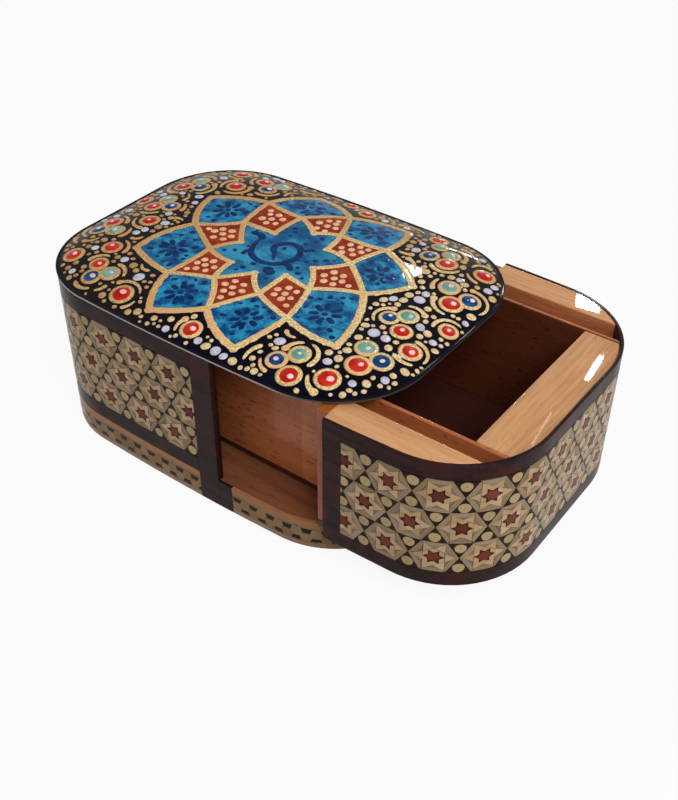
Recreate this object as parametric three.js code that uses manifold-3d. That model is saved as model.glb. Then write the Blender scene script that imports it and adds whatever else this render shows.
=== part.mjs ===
// Khatam jewelry box: a case with a domed painted top, and a drawer that is the front half of the box.
// Millimetres. +X is the way the drawer opens, +Y points to the far long side, +Z is up.
// The origin is the centre of the base board's underside. Lengths in x are those of the closed box,
// and the drawer's group is then moved out to the half-open place that it has at rest.

import * as THREE from 'three';
import Module from 'manifold-3d';
import { mergeVertices } from 'three/addons/utils/BufferGeometryUtils.js';

const wasm = await Module();
wasm.setup();

// Outline of the closed box seen from above: straight ends, round corners, slightly bowed long sides
const boxLength = 120;
const cornerRadius = 27;
const endFlat = 32.8;
const sideBow = 0.7;
const cornerSteps = 16;
const sideSteps = 6;

// Heights
const baseThickness = 9.3;
const lipHeight = 1.6;
const caseWallHeight = 41;
const topLip = 0.7;
const topRise = 3.6;
const crownCornerRadius = 3;
const drawerFloorGap = 0.5;
const drawerHeadGap = 0.6;
const trayBottomThickness = 2.4;
const trayTopDrop = 0.8;

// Veneers and bands
const skinThickness = 0.9;
const bandHeightTop = 4.7;
const bandHeightBottom = 4.6;
const caseBandWidth = 6.9;
const drawerBandWidth = 5.6;
const baseFootWidth = 4.7;

// Case
const wallBoard = 1.3;
const mouthX = 13.3;
const railWidth = 4;
const railDepth = 6.5;
const railLead = 1.2;
const railFrontClearance = 2;
const railRearClearance = 0.7;

// Drawer
const tongueLength = 3.6;
const tongueClearance = 0.4;
const trayInnerHalfWidth = 28.1;
const trayWallThickness = 3.5;
const trayLipThickness = 1.2;
const trayBackThickness = 2.5;
const trayBottomRecess = 0.6;
const railClearance = 0.5;
const railUnderClearance = 0.7;
const frontBlockThickness = 12.9;
const drawerTravelAtRest = 36;

const cornerX = boxLength / 2 - cornerRadius;
const cornerY = endFlat / 2;
const baseTop = baseThickness;
const caseTop = baseTop + caseWallHeight;
const drawerLow = baseTop + drawerFloorGap;
const drawerHigh = caseTop - drawerHeadGap;
const trayFloor = drawerLow + trayBottomThickness;
const trayTop = drawerHigh - trayTopDrop;
const khatamLow = drawerLow + bandHeightBottom;
const khatamHigh = drawerHigh - bandHeightTop;
const caseBandX = mouthX - caseBandWidth;
const drawerBandX = mouthX + drawerBandWidth;
const baseFootX = mouthX + baseFootWidth;
const tongueX = mouthX - tongueLength;
const wallInset = skinThickness + wallBoard;
const tongueInset = wallInset + tongueClearance;
const trayOuter = trayInnerHalfWidth + trayWallThickness;
const grooveInner = trayInnerHalfWidth + trayLipThickness;
const grooveWidth = railWidth + 2 * railClearance;
const railInner = grooveInner + railClearance;
const railOuter = railInner + railWidth;
const railLow = caseTop - railDepth;
const grooveFloor = railLow - railUnderClearance;
const railFrontX = cornerReach(skinThickness, grooveInner + grooveWidth) - railFrontClearance;
const railRearX = railRearClearance - cornerReach(wallInset, railOuter);
const trayRearX = railRearX;
const frontBlockX = boxLength / 2 - skinThickness - frontBlockThickness;

const rear = -1;
const front = 1;
const sides = [['near', -1], ['far', 1]];

// Places along the long sides where a piece may start or end; every piece shares them
const cuts = [...new Set([caseBandX, tongueX, mouthX, baseFootX, drawerBandX])];
const leastStep = 1.5;
const evenStations = Array.from({ length: sideSteps + 1 }, (_, i) => cornerX * (2 * i / sideSteps - 1));
const sideStations = [
  ...cuts,
  ...evenStations.filter((x) => cuts.every((cut) => Math.abs(cut - x) > leastStep)),
].sort((a, b) => a - b);

// How far along x the outline reaches at a given y, round one of its corners
function cornerReach(inset, y) {
  const rise = Math.max(0, y - cornerY);
  return cornerX + Math.sqrt((cornerRadius - inset) ** 2 - rise ** 2);
}

function halfWidth(x, inset) {
  return cornerY + cornerRadius + sideBow * (1 - (x / cornerX) ** 2) - inset;
}

function cornerPoints(end, side, inset) {
  const radius = cornerRadius - inset;
  const points = [];
  for (let i = 1; i <= cornerSteps; i += 1) {
    const angle = Math.PI / 2 * (1 - i / cornerSteps);
    const x = end * (cornerX + radius * Math.cos(angle));
    points.push([x, side * (cornerY + radius * Math.sin(angle))]);
  }
  return points;
}

// Half an outline, from nearX on the near side round one end to farX on the far side
function run(end, inset, nearX, farX = nearX) {
  const outward = [...sideStations].sort((a, b) => end * (a - b));
  const near = outward.filter((x) => end * x >= end * nearX).map((x) => [x, -halfWidth(x, inset)]);
  const far = outward.filter((x) => end * x >= end * farX).map((x) => [x, halfWidth(x, inset)]);
  const round = [...cornerPoints(end, -1, inset), ...cornerPoints(end, 1, inset).reverse()];
  return [...near, ...round, ...far.reverse()];
}

function ring(inset) {
  return [...run(front, inset, mouthX), ...run(rear, inset, mouthX).reverse().slice(1, -1)];
}

// The stretch of a half outline on one side of a line along x
function clip(points, y, keepAbove) {
  const isInside = ([, py]) => (keepAbove ? py > y : py < y);
  const kept = [];
  points.forEach((point, i) => {
    const previous = points[i - 1] ?? point;
    if (isInside(point) !== isInside(previous)) {
      const t = (y - previous[1]) / (point[1] - previous[1]);
      kept.push([previous[0] + t * (point[0] - previous[0]), y]);
    }
    if (isInside(point)) kept.push(point);
  });
  return kept;
}

function between(points, low, high) {
  return clip(clip(points, low, true), high, false);
}

// A plan drawn on the near side, kept there or mirrored to the far side
function toSide(plan, side) {
  return plan.map(([x, y]) => [x, -side * y]);
}

function extrude(points, low, high) {
  const shape = new THREE.Shape(points.map(([x, y]) => new THREE.Vector2(x, y)));
  const geometry = new THREE.ExtrudeGeometry(shape, { depth: high - low, bevelEnabled: false });
  const position = geometry.getAttribute('position');
  for (let i = 0; i < position.count; i += 1) {
    position.setZ(i, position.getZ(i) === 0 ? low : high);
  }
  return geometry;
}

function toSolid(geometry) {
  const bare = geometry.clone();
  bare.deleteAttribute('normal');
  bare.deleteAttribute('uv');
  const merged = mergeVertices(bare);
  return new wasm.Manifold(new wasm.Mesh({
    numProp: 3,
    vertProperties: new Float32Array(merged.getAttribute('position').array),
    triVerts: new Uint32Array(merged.getIndex().array),
  }));
}

function toGeometry(solid) {
  const mesh = solid.getMesh();
  const geometry = new THREE.BufferGeometry();
  geometry.setAttribute('position', new THREE.BufferAttribute(new Float32Array(mesh.vertProperties), 3));
  geometry.setIndex(new THREE.BufferAttribute(new Uint32Array(mesh.triVerts), 1));
  geometry.computeVertexNormals();
  return geometry;
}

function piece(name, geometry, [color, roughness]) {
  const material = new THREE.MeshStandardMaterial({ color, roughness, metalness: 0 });
  const mesh = new THREE.Mesh(geometry, material);
  mesh.name = name;
  return mesh;
}

const lightWood = ['#c8965f', 0.35];
const innerWood = ['#7d4b30', 0.45];
const rosewood = ['#33231f', 0.3];
const inlay = ['#b3a687', 0.35];
const lacquer = ['#15151c', 0.12];

// A veneer strip on one end of the box, between two heights
function skin(end, startX, low, high) {
  const outer = run(end, 0, startX);
  const inner = run(end, skinThickness, startX);
  return extrude([...outer, ...inner.reverse()], low, high);
}

// A short stretch of veneer on one long side
function sideSkin(side, fromX, toX, low, high) {
  const stations = sideStations.filter((x) => x >= fromX && x <= toX);
  const outer = stations.map((x) => [x, -halfWidth(x, 0)]);
  const inner = stations.map((x) => [x, -halfWidth(x, skinThickness)]);
  return extrude(toSide([...outer, ...inner.reverse()], side), low, high);
}

// The base board's edge is left bare at its foot, in a lip that carries the inlaid border
function baseBoard() {
  const core = toSolid(extrude(ring(skinThickness), 0, baseTop));
  const lipRoot = 2 * skinThickness;
  const rearLip = [...run(rear, 0, caseBandX), ...run(rear, lipRoot, caseBandX).reverse()];
  const frontLip = [...run(front, 0, baseFootX), ...run(front, lipRoot, baseFootX).reverse()];
  const lips = toSolid(extrude(rearLip, 0, lipHeight)).add(toSolid(extrude(frontLip, 0, lipHeight)));
  return toGeometry(core.add(lips));
}

function caseWall() {
  const outer = run(rear, skinThickness, mouthX);
  const inner = run(rear, wallInset, mouthX);
  return extrude([...outer, ...inner.reverse()], baseTop, caseTop);
}

// Domed top: a short upright lip, then a crown that rises from it and flattens towards the middle
function topBoard() {
  const crownInset = cornerRadius - crownCornerRadius;
  const levels = [[0, 0], [0, topLip]];
  for (const share of [0.07, 0.15, 0.24, 0.35, 0.48, 0.63, 0.8, 1]) {
    levels.push([share * crownInset, topLip + topRise * (1 - (1 - share) ** 2.5)]);
  }
  const rings = levels.map(([inset, rise]) => ring(inset).map(([x, y]) => [x, y, caseTop + rise]));
  const count = rings[0].length;
  const index = [];
  for (let level = 0; level + 1 < rings.length; level += 1) {
    for (let i = 0; i < count; i += 1) {
      const a = level * count + i;
      const b = level * count + (i + 1) % count;
      index.push(a, b, b + count, a, b + count, a + count);
    }
  }
  const flat = (points) => points.map(([x, y]) => new THREE.Vector2(x, y));
  const cap = (points) => THREE.ShapeUtils.triangulateShape(flat(points), []);
  const crown = (rings.length - 1) * count;
  cap(rings[0]).forEach(([a, b, c]) => index.push(a, c, b));
  cap(rings.at(-1)).forEach(([a, b, c]) => index.push(crown + a, crown + b, crown + c));
  const geometry = new THREE.BufferGeometry();
  geometry.setAttribute('position', new THREE.Float32BufferAttribute(rings.flat(2), 3));
  geometry.setIndex(index);
  geometry.computeVertexNormals();
  return geometry;
}

// A rail under the top board, with a lead on its front tip so that the drawer slides on easily
function guideRail(side) {
  const plan = [
    [railRearX, -railInner], [railRearX, -railOuter],
    [railFrontX - railLead, -railOuter], [railFrontX, railLead - railOuter],
    [railFrontX, -railInner - railLead], [railFrontX - railLead, -railInner],
  ];
  return extrude(toSide(plan, side), railLow, caseTop);
}

// The groove that a rail runs in, ploughed along the top of whatever it crosses
function plough(geometry, side) {
  const height = drawerHigh - grooveFloor + 1;
  const cutter = new THREE.BoxGeometry(2 * boxLength, grooveWidth, height);
  cutter.translate(0, side * (grooveInner + grooveWidth / 2), grooveFloor + height / 2);
  return toGeometry(toSolid(geometry).subtract(toSolid(cutter)));
}

// The tongue that enters the case's mouth, in line with the inside of the case's wall
function tongueEdge() {
  return [[tongueX, -halfWidth(tongueX, tongueInset)], [mouthX, -halfWidth(mouthX, tongueInset)]];
}

function trayBottom() {
  const edgeY = trayBottomRecess - trayOuter;
  const rearHalf = [[trayRearX, edgeY], [tongueX, edgeY], ...tongueEdge()];
  const frontHalf = run(front, skinThickness, mouthX);
  return extrude([...rearHalf, ...frontHalf, ...toSide(rearHalf, 1).reverse()], drawerLow, trayFloor);
}

function trayWall(side) {
  const tip = between(run(front, skinThickness, mouthX), -trayOuter, -trayInnerHalfWidth);
  const plank = [[trayRearX, -trayOuter], ...tip, [trayRearX, -trayInnerHalfWidth]];
  return plough(extrude(toSide(plank, side), trayFloor, trayTop), side);
}

function trayBackWall() {
  const frontX = trayRearX + trayBackThickness;
  const half = [[trayRearX, -trayInnerHalfWidth], [frontX, -trayInnerHalfWidth]];
  return extrude([...half, ...toSide(half, 1).reverse()], trayFloor, trayTop);
}

function frontBlock() {
  const curve = between(run(front, skinThickness, mouthX), -trayInnerHalfWidth, trayInnerHalfWidth);
  const back = [[frontBlockX, trayInnerHalfWidth], [frontBlockX, -trayInnerHalfWidth]];
  return extrude([...curve, ...back], trayFloor, trayTop);
}

function cheek(side) {
  const outside = clip(run(front, skinThickness, mouthX), -trayOuter, false);
  const plan = [[tongueX, -trayOuter], ...tongueEdge(), ...outside];
  return plough(extrude(toSide(plan, side), trayFloor, drawerHigh), side);
}

const caseGroup = new THREE.Group();
caseGroup.add(
  piece('base_board', baseBoard(), lightWood),
  piece('base_border_rear', skin(rear, caseBandX, lipHeight, baseTop), inlay),
  piece('base_border_front', skin(front, baseFootX, lipHeight, baseTop), inlay),
  piece('case_wall', caseWall(), innerWood),
  piece('case_bottom_band', skin(rear, caseBandX, baseTop, khatamLow), rosewood),
  piece('case_khatam_panel', skin(rear, caseBandX, khatamLow, khatamHigh), inlay),
  piece('case_top_band', skin(rear, caseBandX, khatamHigh, caseTop), rosewood),
  piece('top_board', topBoard(), lacquer),
);
for (const [name, side] of sides) {
  caseGroup.add(
    piece(`base_foot_${name}`, sideSkin(side, mouthX, baseFootX, 0, baseTop), rosewood),
    piece(`case_end_band_${name}`, sideSkin(side, caseBandX, mouthX, 0, caseTop), rosewood),
    piece(`guide_rail_${name}`, guideRail(side), innerWood),
  );
}

const drawerGroup = new THREE.Group();
drawerGroup.position.x = drawerTravelAtRest;
drawerGroup.add(
  piece('tray_bottom', trayBottom(), innerWood),
  piece('tray_back_wall', trayBackWall(), innerWood),
  piece('front_block', frontBlock(), lightWood),
  piece('drawer_bottom_band', skin(front, drawerBandX, drawerLow, khatamLow), rosewood),
  piece('drawer_khatam_panel', skin(front, drawerBandX, khatamLow, khatamHigh), inlay),
  piece('drawer_top_band', skin(front, drawerBandX, khatamHigh, drawerHigh), rosewood),
);
for (const [name, side] of sides) {
  drawerGroup.add(
    piece(`tray_wall_${name}`, trayWall(side), innerWood),
    piece(`cheek_${name}`, cheek(side), lightWood),
    piece(`drawer_end_band_${name}`, sideSkin(side, mouthX, drawerBandX, drawerLow, drawerHigh), rosewood),
  );
}

const box = new THREE.Group();
box.add(caseGroup, drawerGroup);

export default box;
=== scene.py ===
import math
import random
from functools import cache

import bmesh
import bpy
import numpy as np
from mathutils import Matrix, Quaternion, Vector


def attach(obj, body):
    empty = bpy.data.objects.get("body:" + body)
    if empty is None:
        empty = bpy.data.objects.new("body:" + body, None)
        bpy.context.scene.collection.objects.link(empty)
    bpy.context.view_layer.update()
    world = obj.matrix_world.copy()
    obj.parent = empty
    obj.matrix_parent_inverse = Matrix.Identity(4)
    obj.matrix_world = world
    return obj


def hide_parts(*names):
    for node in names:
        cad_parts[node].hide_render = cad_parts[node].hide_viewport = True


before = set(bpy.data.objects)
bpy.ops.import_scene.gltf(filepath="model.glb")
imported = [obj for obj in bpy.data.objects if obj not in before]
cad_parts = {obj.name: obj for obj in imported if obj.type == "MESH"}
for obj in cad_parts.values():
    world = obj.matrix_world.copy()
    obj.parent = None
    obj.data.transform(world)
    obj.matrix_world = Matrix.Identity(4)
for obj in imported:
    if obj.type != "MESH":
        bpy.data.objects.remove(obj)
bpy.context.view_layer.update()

# Sizes in millimetres, the same as in the part's source
MM = 0.001
HALF_LENGTH = 60.0
CORNER_X = 33.0
CORNER_Y = 16.4
CORNER_RADIUS = 27.0
SIDE_BOW = 0.7
DRAWER_TRAVEL = 36.0
CASE_TOP = 50.3
TOP_LIP = 0.7
TOP_RISE = 3.6
CROWN_REACH = 24.0
CROWN_POWER = 2.5
SKIN = 0.9
KHATAM_LOW = 14.4
KHATAM_HIGH = 45.0
CASE_BAND_X = 6.4
DRAWER_BAND_X = 18.9
BASE_FOOT_X = 18.0
LIP_TOP = 1.6
BASE_TOP = 9.3
MOUTH_X = 13.3
BORDER_TOP = 7.4
CORNER_SIGNS = [(1, -1), (1, 1), (-1, 1), (-1, -1)]

# Steps of the outline along half a long side and round a corner
SIDE_STEPS = 30
CORNER_STEPS = 60

# Marquetry
STAR_PITCH = 12.7
ROW_SPACING = 10.1
ROW_SQUASH = 0.918
GLUE_GAP = 0.04
GLUE_DEPTH = 0.16
BORDER_PITCH = 5.66
ROD_GROWTH = 0.07
ROD_SHIFT = 0.15
ROD_PROUD = 0.012
RODS_EACH = 64

# Height of the bumps in the lid's lacquer, in metres
LID_BUMP = 0.00014


def linear(red, green, blue):
    """A colour as seen on a screen, 0 to 255, as Blender's own linear numbers"""
    levels = [value / 255 for value in (red, green, blue)]
    return (*(c / 12.92 if c <= 0.04045 else ((c + 0.055) / 1.055) ** 2.4 for c in levels), 1.0)


# Outline of the closed box, walked from the middle of the near side towards +X
def side_y(x):
    return CORNER_Y + CORNER_RADIUS + SIDE_BOW * (1 - (x / CORNER_X) ** 2)


def round_corner(turn, count, inset=0.0):
    """Places along one round corner, a quarter turn after the corner before it"""
    sign_x, sign_y = CORNER_SIGNS[turn]
    radius = CORNER_RADIUS - inset
    return [(sign_x * CORNER_X + radius * math.cos(a), sign_y * CORNER_Y + radius * math.sin(a))
            for a in np.radians(np.linspace(-90, 0, count) + 90 * turn)]


def walk_outline():
    points = [(x, -side_y(x)) for x in np.linspace(0, CORNER_X, SIDE_STEPS, endpoint=False)]
    for turn in range(4):
        points += round_corner(turn, CORNER_STEPS)
        if turn == 1:
            points += [(x, side_y(x)) for x in np.linspace(CORNER_X, -CORNER_X, 2 * SIDE_STEPS)[1:-1]]
    points += [(x, -side_y(x)) for x in np.linspace(-CORNER_X, 0, SIDE_STEPS)[1:]]
    return np.array(points)


WALK = walk_outline()
STEPS = np.diff(WALK, axis=0)
WALK_LENGTH = np.concatenate([[0], np.cumsum(np.hypot(STEPS[:, 0], STEPS[:, 1]))])
PERIMETER = WALK_LENGTH[-1]
TANGENT = np.gradient(WALK, WALK_LENGTH, axis=0)
OUTWARD = np.stack([TANGENT[:, 1], -TANGENT[:, 0]], axis=1)


def round_the_box(along, out):
    """Places and outward directions on the outline, at distances along it and out from it"""
    turn = np.mod(along, PERIMETER)
    place = np.stack([np.interp(turn, WALK_LENGTH, WALK[:, i]) for i in (0, 1)], axis=1)
    outward = np.stack([np.interp(turn, WALK_LENGTH, OUTWARD[:, i]) for i in (0, 1)], axis=1)
    outward /= np.linalg.norm(outward, axis=1)[:, None]
    return place + outward * np.asarray(out)[:, None], outward


def inset_of(x, y):
    """How far a point lies inside the outline"""
    x = abs(x)
    y = abs(y)
    if x <= CORNER_X:
        return side_y(x) - y
    if y <= CORNER_Y:
        return HALF_LENGTH - x
    return CORNER_RADIUS - math.hypot(x - CORNER_X, y - CORNER_Y)


def dome_height(x, y):
    share = min(1.0, max(0.0, inset_of(x, y) / CROWN_REACH))
    return CASE_TOP + TOP_LIP + TOP_RISE * (1 - (1 - share) ** CROWN_POWER)


def dome_normal(x, y):
    step = 0.25
    slope_x = (dome_height(x + step, y) - dome_height(x - step, y)) / (2 * step)
    slope_y = (dome_height(x, y + step) - dome_height(x, y - step)) / (2 * step)
    return Vector((-slope_x, -slope_y, 1)).normalized()


# Shader nodes
def put(tree, kind, inputs=None, **settings):
    """A node with its settings, and its inputs set to values or joined to other nodes' outputs"""
    made = tree.nodes.new(kind)
    for name, value in settings.items():
        setattr(made, name, value)
    for key, value in (inputs or {}).items():
        if isinstance(value, bpy.types.NodeSocket):
            tree.links.new(value, made.inputs[key])
        else:
            made.inputs[key].default_value = value
    return made


def effect(name, inputs, outputs):
    """An empty shader group, with the sockets that it is given and those that it gives out"""
    group = bpy.data.node_groups.new(name, "ShaderNodeTree")
    for direction, sockets in (("INPUT", inputs), ("OUTPUT", outputs)):
        for label, kind in sockets.items():
            group.interface.new_socket(label, in_out=direction, socket_type=f"NodeSocket{kind}")
    return group, group.nodes.new("NodeGroupInput").outputs, group.nodes.new("NodeGroupOutput").inputs


def mix(tree, factor, first, second, blend="MIX"):
    inputs = {"Factor": factor, 6: first, 7: second}
    return put(tree, "ShaderNodeMix", inputs, data_type="RGBA", blend_type=blend).outputs[2]


def calculate(tree, operation, *values):
    return put(tree, "ShaderNodeMath", dict(enumerate(values)), operation=operation).outputs[0]


def times(tree, first, second):
    return calculate(tree, "MULTIPLY", first, second)


def summed(tree, total, *parts):
    """A value and further values on top of it, each with its weight"""
    for value, weight in parts:
        total = calculate(tree, "ADD", total, times(tree, value, weight))
    return total


def between(tree, value, low, high, to_low=0.0, to_high=1.0):
    inputs = {"Value": value, "From Min": low, "From Max": high, "To Min": to_low, "To Max": to_high}
    return put(tree, "ShaderNodeMapRange", inputs, interpolation_type="SMOOTHSTEP").outputs[0]


def noise(tree, where, scale, detail, roughness=0.55):
    inputs = {"Vector": where, "Scale": scale, "Detail": detail, "Roughness": roughness}
    return put(tree, "ShaderNodeTexNoise", inputs).outputs["Fac"]


def stretched(tree, where, x=1.0, y=1.0, turn=0.0):
    """Places scaled, so that a pattern runs long one way, and turned about Z"""
    inputs = {"Vector": where, "Scale": (x, y, 1), "Rotation": (0, 0, turn)}
    return put(tree, "ShaderNodeMapping", inputs).outputs[0]


def split(tree, where):
    return put(tree, "ShaderNodeSeparateXYZ", {0: where}).outputs


def grain_effect():
    """Streaks of wood along X with fine pores and darker flecks, from coordinates in metres"""
    group, given, made = effect(
        "wood_grain", {"Where": "Vector", "Light": "Color", "Dark": "Color", "Flecks": "Float"},
        {"Color": "Color", "Height": "Float"})
    streak_way, pore_way, fleck_way = (stretched(group, given["Where"], x) for x in (0.06, 0.12, 0.22))
    streaks = noise(group, streak_way, 900.0, 4.0, 0.6)
    clouds = noise(group, streak_way, 120.0, 2.0)
    pores = between(group, noise(group, pore_way, 5200.0, 1.0), 0.62, 0.75)
    flecks = between(group, noise(group, fleck_way, 1500.0, 1.0), 0.64, 0.7)
    tone = between(group, summed(group, times(group, streaks, 0.6), (clouds, 0.4)), 0.36, 0.64)
    coloured = mix(group, tone, given["Dark"], given["Light"])
    pored = mix(group, times(group, pores, 0.35), coloured, given["Dark"])
    flecked = mix(group, times(group, flecks, given["Flecks"]), pored, linear(150, 128, 116), "MULTIPLY")
    group.links.new(flecked, made["Color"])
    group.links.new(summed(group, streaks, (pores, -0.6)), made["Height"])
    return group


def ripple_effect():
    """The slight lumps of hand-laid lacquer and the dust caught in it, as a height"""
    group, given, made = effect("lacquer_ripple", {"Where": "Vector", "Lumps": "Float"}, {"Height": "Float"})
    lumps = noise(group, given["Where"], given["Lumps"], 2.0)
    dust = noise(group, given["Where"], 2600.0, 1.0)
    specks = between(group, dust, 0.68, 0.8)
    group.links.new(summed(group, lumps, (dust, 0.35), (specks, 0.25)), made["Height"])
    return group


def tones_effect():
    """Two tones of one colour in soft patches, with a share of fine brush marks"""
    group, given, made = effect(
        "brushed_tones", {"Where": "Vector", "First": "Color", "Second": "Color", "Patches": "Float"},
        {"Color": "Color"})
    patches = noise(group, given["Where"], given["Patches"], 3.0)
    marks = noise(group, given["Where"], 2200.0, 2.0)
    mask = between(group, summed(group, times(group, patches, 0.75), (marks, 0.25)), 0.4, 0.62)
    group.links.new(mix(group, mask, given["First"], given["Second"]), made["Color"])
    return group


GRAIN = grain_effect()
RIPPLE = ripple_effect()
TONES = tones_effect()


def grain_of(tree, where, light, dark, flecks):
    inputs = {"Where": where, "Light": linear(*light), "Dark": linear(*dark), "Flecks": flecks}
    return put(tree, "ShaderNodeGroup", inputs, node_tree=GRAIN).outputs


def ripple_of(tree, where, lumps):
    return put(tree, "ShaderNodeGroup", {"Where": where, "Lumps": lumps}, node_tree=RIPPLE).outputs[0]


def tones_of(tree, where, first, second, patches):
    inputs = {"Where": where, "First": linear(*first), "Second": linear(*second), "Patches": patches}
    return put(tree, "ShaderNodeGroup", inputs, node_tree=TONES).outputs[0]


def material(name):
    made = bpy.data.materials.new(name)
    made.use_nodes = True
    return made, made.node_tree, put(made.node_tree, "ShaderNodeTexCoord").outputs["Object"]


def set_sockets(node, values):
    for name, value in values.items():
        node.inputs[name].default_value = value


def lacquered(tree, colour, height, bump, coat, coat_roughness, roughness, specular, coat_ior=1.2):
    """A surface's colour, its bumps in metres and the gloss of the lacquer over it"""
    shader = tree.nodes["Principled BSDF"]
    bumps = put(tree, "ShaderNodeBump", {"Height": height, "Distance": bump, "Strength": 1.0})
    tree.links.new(colour, shader.inputs["Base Color"])
    tree.links.new(bumps.outputs[0], shader.inputs["Normal"])
    set_sockets(shader, {"Coat Weight": coat, "Coat Roughness": coat_roughness, "Coat IOR": coat_ior,
                         "Roughness": roughness, "Specular IOR Level": specular})


def wood(name, light, dark, turn=0.0, flecks=0.3, ripple=0.00006, lumps=320.0, coat=1.0, *,
         coat_roughness, stains_and_painted_shade=()):
    """Lacquered wood. Each of stains_and_painted_shade is a colour multiplied over it from one place to
    another along an axis; some stand for painted shade
    """
    made, tree, where = material(name)
    turned = stretched(tree, where, turn=turn)
    grain = grain_of(tree, turned, light, dark, flecks)
    coloured = grain["Color"]
    places = split(tree, where)
    for laid_tone, axis, start, end in stains_and_painted_shade:
        along = calculate(tree, "ABSOLUTE", places["Y"]) if axis == "Y" else places[axis]
        cover = between(tree, along, start * MM, end * MM)
        coloured = mix(tree, cover, coloured, linear(*laid_tone), "MULTIPLY")
    waves = ripple_of(tree, stretched(tree, turned, 0.2), lumps)
    height = summed(tree, waves, (grain["Height"], 0.1))
    lacquered(tree, coloured, height, ripple, coat, coat_roughness, 0.45, 0.1, 1.3)
    return made


def rosewood_finish():
    """Nearly black wood with red patches"""
    made, tree, where = material("rosewood")
    grain = grain_of(tree, where, (50, 29, 27), (27, 17, 16), 0.3)
    patches = between(tree, noise(tree, where, 95.0, 2.0), 0.5, 0.66)
    coloured = mix(tree, patches, grain["Color"], linear(58, 24, 24))
    lacquered(tree, coloured, ripple_of(tree, where, 320.0), 0.00005, 0.4, 0.12, 0.5, 0.03)
    return made


def marquetry_finish():
    """Each rod's colour comes with the mesh; its UV map is the rod's own end grain"""
    made, tree, where = material("marquetry")
    colour = put(tree, "ShaderNodeAttribute", attribute_name="rod").outputs["Color"]
    is_disc = put(tree, "ShaderNodeAttribute", attribute_name="end_grain").outputs["Fac"]
    own = put(tree, "ShaderNodeUVMap", uv_map="rod_place").outputs[0]
    middle = put(tree, "ShaderNodeVectorMath", {0: own}, operation="LENGTH").outputs["Value"]
    radius = summed(tree, middle, (noise(tree, where, 900.0, 2.0), 0.25))
    rings = between(tree, calculate(tree, "SINE", times(tree, radius, 17.0)), 0.2, 1.0, 0.0, 0.4)
    pith = between(tree, middle, 0.1, 0.2, 1.0, 0.0)
    marks = times(tree, calculate(tree, "MAXIMUM", rings, pith), is_disc)
    grain = between(tree, noise(tree, stretched(tree, own, 0.35, 3.2), 2.2, 4.0, 0.7), 0.35, 0.7)
    grained = mix(tree, times(tree, grain, 0.55), colour, linear(200, 184, 160), "MULTIPLY")
    marked = mix(tree, marks, grained, linear(104, 78, 44))
    height = summed(tree, ripple_of(tree, where, 420.0), (grain, 0.15))
    lacquered(tree, marked, height, 0.00004, 0.5, 0.14, 0.5, 0.02)
    return made


def painted_light_side(tree, where):
    """How far a place lies towards the lid's rear end or its far side, where painted light is laid: shade on
    the gold and a grey sheen on the black ground
    """
    places = split(tree, where)
    rear = between(tree, places["X"], -0.032, 0.008, 1.0, 0.0)
    far = between(tree, places["Y"], 0.012, 0.034)
    return calculate(tree, "MAXIMUM", rear, far)


def paint(name, first, second, patches, roughness=0.35, sparkle=0.0, tint=None, far_shade=None):
    """Raised paint. Sparkle is how high flakes of gold stand; tint is laid over it in places, and far_shade
    is painted shade towards the lid's rear end and far side
    """
    made, tree, where = material(name)
    coloured = tones_of(tree, where, first, second, patches)
    if tint:
        clouds = between(tree, noise(tree, where, 75.0, 2.0), 0.45, 0.65, 0.0, 0.7)
        coloured = mix(tree, clouds, coloured, linear(*tint))
    # Painted shade, multiplied in towards the lid's rear end and far side
    if far_shade:
        coloured = mix(tree, painted_light_side(tree, where), coloured, linear(*far_shade), "MULTIPLY")
    height = ripple_of(tree, where, 900.0)
    if sparkle:
        height = summed(tree, height, (noise(tree, where, 3000.0, 1.0), sparkle))
    lacquered(tree, coloured, height, LID_BUMP, 0.7, 0.03, roughness, 0.04)
    return made


def lid_ground_finish():
    """Black lacquer, with the pale line of the board's own edge at the foot of its lip, faded towards +X as a
    painted highlight, and a grey painted sheen towards the rear end and far side
    """
    made, tree, where = material("lid_ground")
    black = tones_of(tree, where, (11, 7, 10), (9, 11, 32), 260.0)
    places = split(tree, where)
    wavy = summed(tree, places["Z"], (noise(tree, where, 300.0, 2.0), 0.3 * MM))
    foot = between(tree, wavy, (CASE_TOP + 0.72) * MM, (CASE_TOP + 0.82) * MM, 1.0, 0.0)
    # The pale line is partly the board's own edge, partly a painted highlight: it is kept full only at X
    # below 28 mm
    edge_highlight_share = between(tree, places["X"], 0.028, 0.042, 1.0, 0.2)
    # Painted reflection: the black is laid greyer towards the lid's rear end and far side
    ground = mix(tree, painted_light_side(tree, where), black, linear(31, 26, 27))
    coloured = mix(tree, times(tree, foot, edge_highlight_share), ground, linear(172, 166, 160))
    lacquered(tree, coloured, ripple_of(tree, where, 800.0), LID_BUMP, 0.6, 0.03, 0.4, 0.02)
    return made


# Finishes, in colours as seen on a screen
# Below Z 49.1 mm the cheeks are multiplied pinker and darker: painted shade on their inner faces in the
# grooves. Below X 49.1 mm, towards their rear ends, they are multiplied browner
LIGHT_WOOD = wood("light_wood", (214, 160, 112), (194, 136, 88), 0.0, 0.15, 0.00016, 520.0,
                  coat_roughness=0.025, stains_and_painted_shade=[((226, 196, 190), "Z", 49.5, 49.1),
                                                ((196, 146, 92), "X", 49.4, 49.1)])
# Below Z 48.2 mm, under its top face, the block is multiplied darker: painted shade on its faces inside the
# drawer
BLOCK_WOOD = wood("block_wood", (210, 158, 108), (186, 130, 82), math.pi / 2, 0.15, 0.00016, 520.0,
                  coat_roughness=0.025, stains_and_painted_shade=[((120, 96, 96), "Z", 48.6, 48.2)])
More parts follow.
